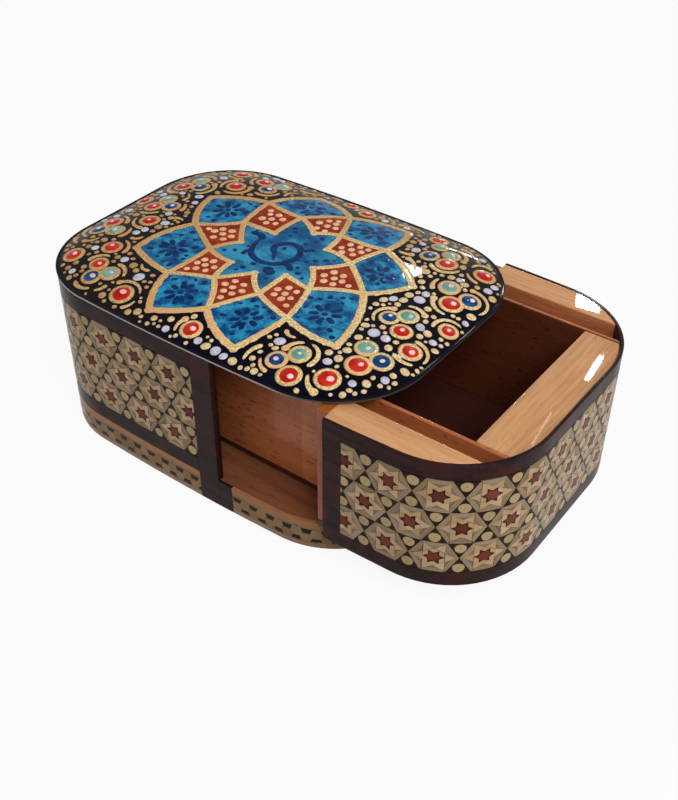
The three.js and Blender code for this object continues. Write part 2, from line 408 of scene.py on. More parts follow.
# Above Z 9 mm, on the floor of the mouth, the board is multiplied redder and darker: partly the floor's own
# tone, partly painted shade under the lid
BASE_WOOD = wood("base_wood", (152, 122, 96), (132, 103, 80), flecks=0.5, coat=0.2, coat_roughness=0.35,
                 stains_and_painted_shade=[((218, 170, 148), "Z", 8.6, 9.0)])
# Inside |Y| 28.2 mm, on the compartment side, the walls are multiplied darker: partly a darker stain, partly
# painted shade in the compartment. Below X 33 mm they are a little darker
TRAY_WALL_WOOD = wood("tray_wall_wood", (186, 112, 70), (170, 98, 58), flecks=0.7, coat=0.5,
                      coat_roughness=0.12, stains_and_painted_shade=[((142, 126, 136), "Y", 28.5, 28.2),
                                                   ((236, 230, 228), "X", 33.3, 32.9)])
TRAY_WOOD = wood("tray_wood", (70, 35, 27), (58, 29, 23), flecks=0.03, coat=0.4, coat_roughness=0.25)
RAIL_WOOD = wood("rail_wood", (150, 92, 62), (126, 74, 48), coat=0.3, coat_roughness=0.3)
# From X 13.1 mm on, at its end face in the mouth, the wall is multiplied darker as painted shade
WALL_WOOD = wood("wall_wood", (120, 62, 40), (92, 46, 30), coat=0.4, coat_roughness=0.25,
                 stains_and_painted_shade=[((90, 76, 84), "X", MOUTH_X - 0.2, MOUTH_X - 0.05)])
ROSEWOOD = rosewood_finish()
MARQUETRY = marquetry_finish()
LID_GROUND = lid_ground_finish()
# Both golds are multiplied darker towards the lid's rear end and far side as painted shade
GOLD = paint("gold_paint", (242, 218, 162), (194, 152, 92), 1700.0, 0.5, 0.5, (224, 172, 116),
             (224, 208, 194))
GOLD_DOTS = paint("gold_dot_paint", (236, 212, 164), (202, 168, 116), 1500.0, 0.45, 0.4,
                  far_shade=(202, 184, 164))
PEACH = paint("peach_paint", (242, 196, 156), (226, 168, 128), 900.0)
PETAL_BLUE = paint("petal_blue", (3, 68, 122), (44, 148, 188), 240.0)
STAR_BLUE = paint("star_blue", (10, 78, 128), (52, 150, 186), 110.0)
NAVY = paint("navy_paint", (2, 36, 82), (5, 54, 110), 400.0)
OUTLINE = paint("outline_paint", (22, 16, 24), (30, 26, 44), 400.0)
KITE_RED = paint("kite_red", (134, 32, 8), (160, 56, 22), 300.0)
GEM_RED = paint("gem_red", (172, 24, 16), (202, 48, 34), 300.0)
GEM_BLUE = paint("gem_blue", (10, 56, 104), (30, 90, 140), 300.0)
GEM_TURQUOISE = paint("gem_turquoise", (94, 152, 138), (132, 180, 164), 300.0)
PALE_DOTS = paint("pale_paint", (206, 204, 214), (176, 174, 188), 700.0)
PINK = paint("pink_paint", (232, 180, 172), (244, 218, 214), 400.0)


# Pieces
def meshed(bm, name):
    """What was built on the bench as a mesh with smooth shading"""
    for face in bm.faces:
        face.smooth = True
    mesh = bpy.data.meshes.new(name)
    bm.to_mesh(mesh)
    bm.free()
    return mesh


def settled(mesh, name, body, finish, slot, replaced):
    """A finished mesh as a piece that rides on its body, in the place of its CAD nodes"""
    mesh.materials.append(finish)
    piece = bpy.data.objects.new(name, mesh)
    bpy.context.scene.collection.objects.link(piece)
    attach(piece, body)
    if replaced:
        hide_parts(*replaced)
    return piece


def make_piece(bm, name, body, finish, slot, replaced=(), scale=MM):
    mesh = meshed(bm, name)
    mesh.transform(Matrix.Scale(scale, 4))
    return settled(mesh, name, body, finish, slot, replaced)


def with_even_normals(piece, weight):
    weighted = piece.modifiers.new("even_normals", "WEIGHTED_NORMAL")
    weighted.weight = weight


def softened(node, body, finish, slot, edge, segments):
    """A wooden piece in the shape of its CAD node, with its sharp edges rounded by hand sanding"""
    bm = bmesh.new()
    bm.from_mesh(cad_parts[node].data)
    bmesh.ops.remove_doubles(bm, verts=bm.verts, dist=1e-6)
    bmesh.ops.dissolve_limit(bm, angle_limit=math.radians(0.4), verts=bm.verts, edges=bm.edges)
    sharp = [e for e in bm.edges if len(e.link_faces) == 2 and e.calc_face_angle() > math.radians(30)]
    bmesh.ops.bevel(bm, geom=sharp, offset=edge * MM, offset_type="OFFSET", segments=segments, profile=0.5,
                    affect="EDGES", clamp_overlap=True, material=-1)
    with_even_normals(make_piece(bm, f"{node}_finished", body, finish, slot, (node,), 1.0), 80)


# Marquetry made of rods: flat tiles are drawn, sawn to the strip and wrapped round the box
def polar(radius, degrees):
    angle = math.radians(degrees)
    return (radius * math.cos(angle), radius * math.sin(angle))


CREAM, GREY, OLIVE, CORE, EBONY, DISC, BUFF, GLUE, EDGING = range(9)
ROD_TONES = {
    CREAM: [(185, 156, 123), (179, 149, 115), (189, 162, 131), (175, 146, 108)],
    GREY: [(145, 126, 101), (137, 118, 93), (151, 132, 107)],
    OLIVE: [(130, 111, 87), (138, 119, 95), (122, 105, 83)],
    CORE: [(106, 46, 34), (94, 40, 30), (112, 54, 40)],
    EBONY: [(34, 17, 9), (42, 22, 12)],
    DISC: [(187, 164, 125), (181, 158, 117), (171, 148, 106)],
    BUFF: [(144, 117, 86), (136, 108, 78), (128, 101, 72)],
    GLUE: [(44, 26, 14)],
    EDGING: [(158, 112, 76)],
}


def tile(bm, corners, kind, number, lift=0.0):
    """One flat rod end, marked with its kind and number, and with its own middle as the UV map's zero"""
    face = bm.faces.new([bm.verts.new((x, y, lift)) for x, y in corners])
    face[bm.faces.layers.int["kind"]] = kind
    face[bm.faces.layers.int["number"]] = number
    middle = face.calc_center_median()
    for loop in face.loops:
        loop[bm.loops.layers.uv["rod_place"]].uv = (loop.vert.co - middle).xy
    return face


def tile_bench():
    bm = bmesh.new()
    bm.faces.layers.int.new("kind")
    bm.faces.layers.int.new("number")
    bm.loops.layers.uv.new("rod_place")
    return bm


def star_motif():
    """One star in its hexagon, with the two dark triangles and discs beside it"""
    bm = tile_bench()
    reach = STAR_PITCH / 2
    tip = 0.87 * reach
    notch = tip / math.sqrt(3)
    hollow = [(2.75, 0), (2.12, 11), (1.78, 20), (1.64, 30), (1.78, 40), (2.12, 49), (2.75, 60)]
    core = [(2.1, 0), (1.62, 15), (1.45, 30), (1.62, 45)]
    for step in range(6):
        turn = 60 * step
        number = 8 * step
        rim = [polar(r, turn + a) for r, a in hollow]
        mirrored = [polar(r, turn - a) for r, a in hollow[3:0:-1]]
        low, high = Vector(polar(tip, turn)), Vector(polar(tip, turn + 60))
        before, after = polar(notch, turn - 30), Vector(polar(notch, turn + 30))
        near_low, near_high = after.lerp(low, 0.55), after.lerp(high, 0.55)
        border = [polar(reach, turn), polar(reach, turn + 60)]
        tile(bm, [*mirrored, *rim[:4]], EBONY, number + 1)
        tile(bm, [after, *rim], CREAM, number + 2)
        tile(bm, [before, low, after], CREAM, number + 3)
        tile(bm, [after, near_low, near_high], OLIVE, number + 4)
        tile(bm, [near_low, low, *border, high, near_high], GREY, number + 5)
    tile(bm, [polar(r, a + 60 * step) for step in range(6) for r, a in core], CORE, 0)
    for side in (-1, 1):
        edge = side * reach * math.sin(math.radians(60))
        corners = [(reach, 0), (1.5 * reach, edge), (0.5 * reach, edge)]
        tile(bm, corners[::side], EBONY, 50 + side)
    bmesh.ops.scale(bm, vec=(1, ROW_SQUASH, 1), verts=bm.verts)
    for side in (-1, 1):
        centre = (reach, side * 3.38)
        corners = [(centre[0] + (1.56 + 0.09 * math.sin(3 * a)) * math.cos(a), centre[1] + 1.5 * math.sin(a))
                   for a in np.radians(np.arange(0, 360, 30))]
        tile(bm, corners, DISC, 53 + side, 0.035)
    return bm


def border_motif():
    """One repeat of the base's border: dark wedges up and down, with pale six-sided rods between them"""
    bm = tile_bench()
    half = BORDER_PITCH / 2
    low, low_top, high_foot, high = 2.1, 3.35, 4.85, 6.5
    wide, narrow = 1.6, 1.05
    tile(bm, [(-narrow, high_foot), (narrow, high_foot), (wide, high), (-wide, high)], EBONY, 1)
    tile(bm, [(half - wide, low), (half + wide, low), (half + narrow, low_top), (half - narrow, low_top)],
         EBONY, 2)
    tile(bm, [(wide, high), (narrow, high_foot), (half - narrow, low_top), (half + narrow, low_top),
              (BORDER_PITCH - narrow, high_foot), (BORDER_PITCH - wide, high)], BUFF, 3)
    tile(bm, [(wide - half, low), (half - wide, low), (half - narrow, low_top), (narrow, high_foot),
              (-narrow, high_foot), (narrow - half, low_top)], BUFF, 4)
    for row, (bottom, top) in enumerate([(LIP_TOP, low), (high, BORDER_TOP)]):
        tile(bm, [(-half, bottom), (half, bottom), (half, top), (-half, top)], BUFF, 5 + row)
    return bm


def trimmed(bm, gap):
    """Each tile is made a little smaller, so that the glue shows between them"""
    tiles = list(bm.faces)
    made = bmesh.ops.inset_individual(bm, faces=tiles, thickness=gap, use_even_offset=True)
    bmesh.ops.delete(bm, geom=made["faces"], context="FACES")
    loose = [v for v in bm.verts if not v.link_faces]
    bmesh.ops.delete(bm, geom=loose, context="VERTS")


def cut(bm, normal, place, clear=False):
    """A cut through everything, with what lies beyond it taken off if asked"""
    geom = [*bm.verts, *bm.edges, *bm.faces]
    bmesh.ops.bisect_plane(bm, geom=geom, dist=1e-5, plane_co=place, plane_no=normal, clear_outer=clear)


def strip(motif, places, ends, heights, crease):
    """Copies of a motif at their places, sawn to a strip between two ends and two heights"""
    trimmed(motif, GLUE_GAP)
    for x in np.arange(-2 * crease, 20 * crease, crease):
        cut(motif, (1, 0, 0), (x, 0, 0))
    template = meshed(motif, "motif")
    sheet = bmesh.new()
    for number, (x, z) in enumerate(places):
        first = len(sheet.faces)
        sheet.from_mesh(template)
        if number == 0:
            sheet.faces.layers.int.new("copy")
        sheet.faces.ensure_lookup_table()
        new_faces = sheet.faces[first:]
        for face in new_faces:
            face[sheet.faces.layers.int["copy"]] = number
        new_verts = {v for f in new_faces for v in f.verts}
        bmesh.ops.translate(sheet, verts=list(new_verts), vec=(x, z, 0))
    bpy.data.meshes.remove(template)
    for side, end in zip((-1, 1), ends):
        cut(sheet, (side, 0, 0), (end, 0, 0), True)
    for side, height in zip((-1, 1), heights):
        cut(sheet, (0, side, 0), (0, height, 0), True)
    thickened(sheet, GLUE_DEPTH + 0.1)
    backing(sheet, ends, heights, crease, -GLUE_DEPTH)
    return sheet


def thickened(sheet, depth):
    """The flat tiles drawn out into short rods, closed at the back"""
    made = bmesh.ops.extrude_face_region(sheet, geom=list(sheet.faces), use_keep_orig=True)
    backs = [e for e in made["geom"] if isinstance(e, bmesh.types.BMVert)]
    bmesh.ops.translate(sheet, verts=backs, vec=(0, 0, -depth))


def backing(sheet, ends, heights, crease, top, made_of=GLUE):
    """A long bar in the strip: the dark glue bed behind the tiles, or a wooden edging"""
    length = ends[1] - ends[0]
    first = len(sheet.faces)
    bar = bmesh.ops.create_cube(sheet, size=1)["verts"]
    bmesh.ops.scale(sheet, vec=(length, heights[1] - heights[0], top + SKIN), verts=bar)
    bmesh.ops.translate(sheet, vec=(sum(ends) / 2, sum(heights) / 2, (top - SKIN) / 2), verts=bar)
    sheet.faces.ensure_lookup_table()
    for face in sheet.faces[first:]:
        face[sheet.faces.layers.int["kind"]] = made_of
    long_edges = [e for e in sheet.edges if e.verts[0] in bar and e.verts[1] in bar
                  and abs(e.verts[0].co.x - e.verts[1].co.x) > length / 2]
    cuts = max(2, round(length / crease)) - 1
    bmesh.ops.subdivide_edges(sheet, edges=long_edges, cuts=cuts, use_grid_fill=True)


def read(data, name, width=1, kind=float):
    """One value of each element of a mesh, as an array"""
    values = np.empty(len(data) * width, kind)
    data.foreach_get(name, values)
    return values.reshape(-1, width) if width > 1 else values


def taken_out(mesh, label):
    """A whole number that each face carries, taken off the mesh"""
    values = read(mesh.attributes[label].data, "value", kind=np.int32)
    mesh.attributes.remove(mesh.attributes[label])
    return values


def loosened(flat, own, corner, is_rod, chance):
    """Each rod a little larger or smaller, aside and proud, as in hand-made bundles"""
    lowest, highest = flat[:, :2].min(axis=0), flat[:, :2].max(axis=0)
    growth = ROD_GROWTH * (chance[:, 2:3] - 0.6)
    shift = ROD_SHIFT * (chance[:, 3:5] - 0.5)
    drift = np.zeros_like(flat)
    drift[corner, :2] = (own * growth + shift) * is_rod
    drift[corner, 2:] = ROD_PROUD * chance[:, 1:2] * is_rod
    flat += drift
    flat[:, :2] = np.clip(flat[:, :2], lowest, highest)


def wrapped(sheet, name, body, node, travel, seed):
    """The flat strip wrapped round the box's outline, with each rod's colour"""
    mesh = meshed(sheet, name)
    flat = read(mesh.vertices, "co", 3)
    loops_each = read(mesh.polygons, "loop_total", kind=np.int32)
    corner = read(mesh.loops, "vertex_index", kind=np.int32)
    normal = np.repeat(read(mesh.polygons, "normal", 3), loops_each, axis=0)
    kinds, numbers, copies = [taken_out(mesh, label) for label in ("kind", "number", "copy")]
    rods = copies * RODS_EACH + numbers
    chance = np.random.default_rng(seed).random((rods.max() + 1, 5))
    own = read(mesh.uv_layers["rod_place"].data, "uv", 2)
    is_rod = np.repeat(kinds < GLUE, loops_each)[:, None]
    loosened(flat, own, corner, is_rod, chance[np.repeat(rods, loops_each)])
    place, outward = round_the_box(flat[:, 0], flat[:, 2])
    solid = np.column_stack([place[:, 0] + travel, place[:, 1], flat[:, 1]]) * MM
    mesh.vertices.foreach_set("co", solid.ravel())

    out = outward[corner]
    tangent = np.column_stack([-out[:, 1], out[:, 0]])
    bent = np.column_stack([normal[:, :1] * tangent + normal[:, 2:] * out, normal[:, 1]])

    colours = np.zeros((len(rods), 4))
    for kind, tones in ROD_TONES.items():
        chosen = kinds == kind
        pick = (chance[rods[chosen], 0] * len(tones)).astype(int)
        colours[chosen] = np.array([linear(*tone) for tone in tones])[pick]
    colours[:, :3] *= 0.9 + 0.2 * chance[rods, 1:2]
    rod = mesh.color_attributes.new("rod", "FLOAT_COLOR", "CORNER")
    rod.data.foreach_set("color", np.repeat(colours, loops_each, axis=0).astype(np.float32).ravel())
    end_grain = mesh.attributes.new("end_grain", "FLOAT", "CORNER")
    end_grain.data.foreach_set("value", np.repeat(kinds == DISC, loops_each).astype(np.float32))
    mesh.update()
    mesh.normals_split_custom_set(bent.tolist())
    settled(mesh, name, body, MARQUETRY, "khatam_inlay", (node,))


def khatam_panel(name, body, node, ends, row_starts, travel, seed):
    middle = (KHATAM_LOW + KHATAM_HIGH) / 2
    places = []
    for row, start in enumerate(row_starts):
        z = middle + (row - 1) * ROW_SPACING
        x = start - STAR_PITCH * math.ceil((start - ends[0]) / STAR_PITCH + 1)
        while x < ends[1] + STAR_PITCH:
            places.append((x, z))
            x += STAR_PITCH
    sheet = strip(star_motif(), places, ends, (KHATAM_LOW, KHATAM_HIGH), STAR_PITCH / 8)
    wrapped(sheet, name, body, node, travel, seed)


def base_border(name, node, ends, seed):
    count = math.ceil((ends[1] - ends[0]) / BORDER_PITCH) + 2
    places = [(ends[0] + BORDER_PITCH * (i - 0.7), 0) for i in range(count)]
    crease = BORDER_PITCH / 4
    sheet = strip(border_motif(), places, ends, (LIP_TOP, BORDER_TOP), crease)
    backing(sheet, ends, (BORDER_TOP, BASE_TOP), crease, 0.02, EDGING)
    wrapped(sheet, name, "case", node, 0.0, seed)


def at_x(x, far=False):
    """Distance along the outline at which a long side passes x"""
    turn = np.interp(abs(x), WALK[:SIDE_STEPS, 0], WALK_LENGTH[:SIDE_STEPS])
    turn = turn if x >= 0 else -turn
    return PERIMETER / 2 - turn if far else turn


drawer_ends = (at_x(DRAWER_BAND_X), at_x(DRAWER_BAND_X, far=True))
case_ends = (at_x(CASE_BAND_X, far=True), at_x(CASE_BAND_X) + PERIMETER)
front_ends = (at_x(BASE_FOOT_X), at_x(BASE_FOOT_X, far=True))
edge = drawer_ends[0]
khatam_panel("drawer_khatam", "drawer", "drawer_khatam_panel", drawer_ends,
             (edge + 0.8, edge + 7.05, edge + 0.8), DRAWER_TRAVEL, 11)
edge = case_ends[1]
khatam_panel("case_khatam", "case", "case_khatam_panel", case_ends,
             (edge - 8.25, edge - 1.9, edge - 8.25), 0.0, 12)
base_border("border_rear", "base_border_rear", case_ends, 13)
base_border("border_front", "base_border_front", front_ends, 14)


# Wood and rosewood pieces in the shape of their CAD nodes, with how far their edges are rounded
for body, finish, slot, edge, segments, nodes in (
        ("case", BASE_WOOD, "light_wood", 0.2, 2, ["base_board"]),
        ("case", WALL_WOOD, "inner_wood", 0.15, 2, ["case_wall"]),
        ("case", RAIL_WOOD, "inner_wood", 0.2, 2, ["guide_rail_near", "guide_rail_far"]),
        ("case", ROSEWOOD, "rosewood", 0.12, 2,
         ["case_bottom_band", "case_top_band", "base_foot_near", "base_foot_far", "case_end_band_near",
          "case_end_band_far"]),
        ("drawer", ROSEWOOD, "rosewood", 0.12, 2,
         ["drawer_bottom_band", "drawer_top_band", "drawer_end_band_near", "drawer_end_band_far"]),
        ("drawer", TRAY_WOOD, "inner_wood", 0.3, 2, ["tray_bottom", "tray_back_wall"]),
        ("drawer", TRAY_WALL_WOOD, "inner_wood", 0.3, 2, ["tray_wall_near", "tray_wall_far"]),
        ("drawer", BLOCK_WOOD, "light_wood", 0.45, 3, ["front_block"]),
        ("drawer", LIGHT_WOOD, "light_wood", 0.6, 3, ["cheek_near", "cheek_far"])):
    for node in nodes:
        softened(node, body, finish, slot, edge, segments)


# Lid
def outline_ring(inset):
    """A closed ring of places at one inset, with the same count at every inset"""
    ring = []
    for turn in range(4):
        ring += round_corner(turn, 25, inset)
        side = 1 if turn < 2 else -1
        if turn % 2:
            ring += [(-side * x, side * (side_y(x) - inset)) for x in np.linspace(-1, 1, 21)[1:-1] * CORNER_X]
        else:
            ring += [(side * (HALF_LENGTH - inset), side * y) for y in np.linspace(-1, 1, 9)[1:-1] * CORNER_Y]
    return ring


def lid_board():
    """The board's pale edge, the rounded lacquer nose that stands a little proud of it, and the dome"""
    bm = bmesh.new()
    lip = [(0.15, 0.02), (0.0, 0.1), (0.0, 0.58), (-0.1, 0.68), (-0.15, 0.82), (-0.1, 0.98), (0.05, 1.08)]
    dome = [0.02, 0.04, 0.07, 0.11, 0.16, 0.22, 0.29, 0.37, 0.46, 0.56, 0.67, 0.78, 0.89, 1.0]
    rings = [[(x, y, CASE_TOP + rise) for x, y in outline_ring(inset)] for inset, rise in lip]
    rings += [[(x, y, dome_height(x, y)) for x, y in outline_ring(CROWN_REACH * share)] for share in dome]
    loops = []
    for ring in rings:
        verts = [bm.verts.new(place) for place in ring]
        loops.append([bm.edges.new((verts[i - 1], verts[i])) for i in range(len(verts))])
    for lower, upper in zip(loops, loops[1:]):
        bmesh.ops.bridge_loops(bm, edges=lower + upper)
    for end in (loops[0], loops[-1]):
        bmesh.ops.contextual_create(bm, geom=end)
    bmesh.ops.recalc_face_normals(bm, faces=bm.faces)
    with_even_normals(make_piece(bm, "lid", "case", LID_GROUND, "painted_lacquer", ("top_board",)), 60)


lid_board()

# Painting on the lid: eight kites and eight petals round a star, in millimetres from the lid's middle
KITE_TIPS = [(30.1, -0.3), (22.2, 21.8), (2.6, 31.5), (-22.0, 23.5), (-31.2, 0.5), (-19.1, -24.0),
             (0.9, -30.3), (20.9, -21.5)]
STAR_NOTCHES = [(11.3, 1.8), (8.4, 12.0), (0.1, 17.0), (-9.1, 10.2), (-13.7, 0.6), (-8.7, -9.4),
                (0.1, -9.6), (7.6, -5.5)]
STAR_POINTS = [(18.4, 10.0), (7.0, 20.8), (-8.4, 22.0), (-20.4, 9.7), (-18.4, -7.5), (-7.2, -18.4),
               (7.7, -17.0), (17.0, -7.3)]
PETAL_TIPS = [(38.6, 10.6), (20.8, 35.8), (-12.4, 36.7), (-38.3, 15.4), (-35.3, -19.7), (-12.5, -38.4),
              (17.0, -38.2), (38.4, -23.8)]
PETAL_LINE = 2.7
KITE_LINE = 2.3
GOLD_HEIGHT = 0.18
NAVY_HEIGHT = 0.074
STAR_FILM, PETAL_FILM, KITE_FILM = 0.04, 0.05, 0.08
FILM_ROOT = 0.15
FILM_STEP = 1.3
GEM_RING = 0.95
LID_REACH_Y = 44.0

# Navy scrolls in the star, as the places they run through and their widths, and the dabs round them
SCROLLS = [
    ([(-10.4, 6.6), (-9.9, 2.2), (-7.6, -2.2), (-3.4, -4.2), (1.2, -3.2), (3.8, 0.2), (4.3, 4.4), (2.2, 7.8),
      (-1.8, 8.4), (-4.3, 5.6), (-3.9, 3.2), (-2.0, 1.4), (-0.2, -1.6)], 2.0),
    ([(-15.2, 6.8), (-12.0, 7.2), (-9.4, 5.4)], 2.3),
    ([(3.6, 7.0), (4.8, 8.4), (6.4, 9.8)], 1.7),
    ([(2.6, -1.2), (5.2, -1.2), (7.4, -3.0)], 2.0),
    ([(1.4, -4.8), (2.2, -6.6), (4.6, -7.4)], 2.9),
    ([(-9.4, -1.2), (-9.2, -4.4)], 1.5),
]
STAR_DABS = [
    (-6.2, 16.2, 0.7), (-4.7, 14.6, 0.65), (-4.5, 11.9, 0.7), (3.9, 16.1, 0.8), (3.5, 13.7, 0.75),
    (1.8, 11.0, 0.7), (11.9, 7.2, 0.9), (9.8, 5.2, 0.8), (8.0, 3.3, 0.65), (5.8, 2.9, 0.6), (-1.5, 5.2, 0.8),
    (-12.2, -3.8, 0.75), (-10.6, 0.2, 0.6), (-14.6, -5.6, 0.7), (-3.3, -6.3, 1.0), (-4.5, -9.4, 0.9),
    (-5.2, -11.4, 0.6), (7.9, -0.6, 0.8), (9.7, -2.8, 0.9), (12.2, -4.2, 0.7), (4.4, -10.0, 0.6),
    (-14.2, 8.6, 0.5), (0.6, 14.2, 0.5), (13.8, 8.4, 0.5),
]

# Gems: red, blue or turquoise, their places and sizes
GEMS = [
    ("turquoise", 38.0, 31.5, 1.9), ("blue", 33.4, 27.2, 2.0), ("red", 39.6, 26.4, 2.3),
    ("red", 50.2, 29.4, 2.5), ("turquoise", 46.5, 16.8, 2.3), ("blue", 53.6, 15.8, 2.4),
    ("red", 50.7, 11.0, 2.6), ("red", 56.0, 1.4, 2.0), ("turquoise", 45.4, -1.6, 2.1),
    ("blue", 41.9, -5.2, 2.0), ("red", 47.6, -8.0, 2.2), ("red", 53.6, -12.8, 2.3),
    ("turquoise", 44.8, -19.6, 2.3), ("blue", 50.5, -21.1, 2.4), ("red", 46.9, -26.0, 2.6),
    ("red", 43.6, -34.2, 2.6), ("turquoise", 32.8, -31.4, 2.2), ("blue", 29.0, -35.8, 2.1),
    ("red", 34.9, -38.4, 2.5), ("red", 2.6, -38.4, 2.3), ("red", -23.5, -37.6, 2.7),
    ("turquoise", -32.6, -33.0, 2.1), ("blue", -36.4, -36.4, 2.2), ("red", -38.5, -31.4, 2.0),
    ("red", -49.3, -31.0, 2.5), ("red", -41.4, -23.4, 2.3), ("red", -53.2, -11.6, 2.3),
    ("blue", -53.6, -17.2, 2.2), ("turquoise", -48.2, -15.6, 2.2), ("red", -43.6, -6.0, 2.3),
    ("red", -49.6, 1.8, 2.2), ("blue", -44.6, 4.2, 2.1), ("turquoise", -49.0, 7.6, 2.1),
    ("red", -56.2, 4.6, 2.0), ("red", -51.6, 17.2, 2.3), ("blue", -46.0, 19.0, 2.1),
    ("turquoise", -49.4, 23.0, 2.1), ("red", -37.2, 25.6, 2.3), ("red", -42.6, 35.0, 2.3),
    ("blue", -28.4, 30.4, 2.1), ("turquoise", -26.6, 35.6, 2.1), ("red", -32.6, 34.2, 2.1),
    ("red", 4.0, 38.2, 2.0), ("red", 29.6, 38.4, 2.2), ("turquoise", 32.6, 34.0, 1.8),
    ("red", -3.6, 40.4, 1.6),
]
PALE_PLACES = [(43.5, 6.6, 1.6), (37.8, 2.6, 1.2), (42.6, -13.2, 1.7), (40.1, -29.6, 1.2), (25.5, -30.2, 1.5),
               (13.2, -41.0, 1.5), (-3.7, -41.4, 1.1), (54.5, 24.0, 1.3), (46.6, 21.8, 1.0), (57.4, 7.6, 1.0),
               (55.6, -5.4, 1.1), (49.2, -31.6, 1.1), (54.6, -25.4, 1.2), (-24.3, -30.0, 1.6),
               (-45.7, -26.0, 1.2), (-38.6, -4.6, 1.3), (-41.6, -13.6, 1.2), (-35.3, 37.7, 1.1),
               (27.8, 32.2, 1.0), (-55.4, -3.0, 1.3), (-43.6, -37.0, 1.1), (-56.6, 11.6, 1.1)]

# The layers of paint, and the hand that lays them
PAINTED = {
    "petal_films": PETAL_BLUE, "star_film": STAR_BLUE, "kite_films": KITE_RED, "gold_lines": GOLD,
    "dark_outlines": OUTLINE, "navy_marks": NAVY, "kite_dots": PEACH, "red_gems": GEM_RED,
    "blue_gems": GEM_BLUE, "turquoise_gems": GEM_TURQUOISE, "gold_commas": GOLD, "gold_drops": GOLD_DOTS,
    "pale_drops": PALE_DOTS, "gem_lights": PINK,
}
layers = {name: bmesh.new() for name in PAINTED}
hand = random.Random(2718)


def vectors(places):
    return [Vector(place) for place in places]


def centre_of(corners):
    return sum(corners, Vector((0, 0))) / len(corners)


def sides(corners):
    """Each side of a convex outline: its first corner and the way inwards, as long as the side"""
    for first, second in zip(corners, corners[1:] + corners[:1]):
        along = second - first
        inward = Vector((along.y, -along.x))
        if inward.dot(centre_of(corners) - first) < 0:
            inward.negate()
        yield first, inward


def within(corners, place, margin):
    """Whether a place lies inside a convex outline, at least a margin from its edges"""
    return all(inward.normalized().dot(place - first) >= margin for first, inward in sides(corners))


def joined(layer, part):
    """A small part added to a layer of paint"""
    carried = meshed(part, "part")
    layers[layer].from_mesh(carried)
    bpy.data.meshes.remove(carried)


def patch(layer, corners, lift):
    """A thin film of paint inside a convex outline, laid on the dome"""
    middle = centre_of(corners)
    reach = max((corner - middle).length for corner in corners) + FILM_STEP
    count = round(2 * reach / FILM_STEP)
    film = bmesh.new()
    bmesh.ops.create_grid(film, x_segments=count, y_segments=count, size=reach,
                          matrix=Matrix.Translation(middle.to_3d()))
    for first, inward in sides(corners):
        cut(film, -inward.to_3d(), first.to_3d(), True)
    made = bmesh.ops.extrude_face_region(film, geom=list(film.faces), use_keep_orig=True)
    top = {v for v in made["geom"] if isinstance(v, bmesh.types.BMVert)}
    for vert in film.verts:
        height = lift if vert in top else -FILM_ROOT
        vert.co.z = dome_height(vert.co.x, vert.co.y) + height
    bmesh.ops.recalc_face_normals(film, faces=film.faces)
    joined(layer, film)


def stroke(layer, path, width, height, steps, flat=2, sink=0.12):
    """A raised stroke of the brush: path and width are functions of the share of its length"""
    ribbon = bmesh.new()
    bmesh.ops.create_grid(ribbon, x_segments=steps, y_segments=6, size=1)
    for vert in ribbon.verts:
        share = (vert.co.x + 1) / 2
        across = vert.co.y
        ahead = path(min(1, share + 0.01)) - path(max(0, share - 0.01))
        sideways = Vector((-ahead.y, ahead.x)).normalized()
        half = width(share) / 2
        place = path(share) + sideways * across * half
        rise = height * (1 - abs(across) ** flat) ** 0.5 * min(1, half * 2.2) - sink * abs(across) ** 6
        vert.co = (place.x, place.y, dome_height(place.x, place.y) + rise)
    joined(layer, ribbon)


@cache
def drop_shape(rounds, rows):
    """A round drop, made once for each count of its sides"""
    drop = bmesh.new()
    bmesh.ops.create_uvsphere(drop, u_segments=rounds, v_segments=rows, radius=1)
    return meshed(drop, "drop")


def dot(layer, place, radius, height, rounds=10, rows=6, turn=0.0, longer=1.0, lift=0.0):
    """A drop of paint that stands on the dome, square to it"""
    normal = dome_normal(place.x, place.y)
    centre = Vector((place.x, place.y, dome_height(place.x, place.y))) + normal * lift
    matrix = (Matrix.Translation(centre) @ normal.to_track_quat("Z", "Y").to_matrix().to_4x4()
              @ Matrix.Rotation(turn, 4, "Z") @ Matrix.Diagonal((radius * longer, radius, height, 1)))
    placed = drop_shape(rounds, rows).copy()
    placed.transform(matrix)
    layers[layer].from_mesh(placed)
    bpy.data.meshes.remove(placed)


def straight(first, second, bend):
    """A path between two places, bowed sideways by a share of its length"""
    across = Vector((first.y - second.y, second.x - first.x))
    return lambda share: first.lerp(second, share) + across * bend * 4 * share * (1 - share)


def arc(middle, radius, start, turn):
    """A path along a circle, in degrees"""
    return lambda share: middle + Vector(polar(radius, start + turn * share))


def even(width, phase):
    """Width of a line that the hand holds nearly even"""
    def at(share):
        return width * (1 + 0.05 * math.sin(29 * share + phase) + 0.04 * math.sin(67 * share + 2 * phase))
    return at


def comma(width):
    """Width of a comma: a round head that grows thinner, with a round end"""
    return lambda share: width * (1 - 0.5 * share) * min(1, 9 * share + 0.1, 12 * (1 - share) + 0.1) ** 0.5


def dab(width):
    """Width of a short mark with two round ends"""
    return lambda share: width * min(1, 5 * share + 0.12, 5 * (1 - share) + 0.12) ** 0.5


def through(places):
    """A smooth path through several places"""
    knots = vectors(places)
    knots = [knots[0] * 2 - knots[1], *knots, knots[-1] * 2 - knots[-2]]

    def path(share):
        at = min(share * (len(knots) - 3), len(knots) - 3 - 1e-6)
        k = int(at)
        t = at - k
        before, here, there, after = knots[k:k + 4]
        return 0.5 * (here * 2 + (there - before) * t + (before * 2 - here * 5 + there * 4 - after) * t ** 2
                      + (here * 3 - before - there * 3 + after) * t ** 3)
    return path


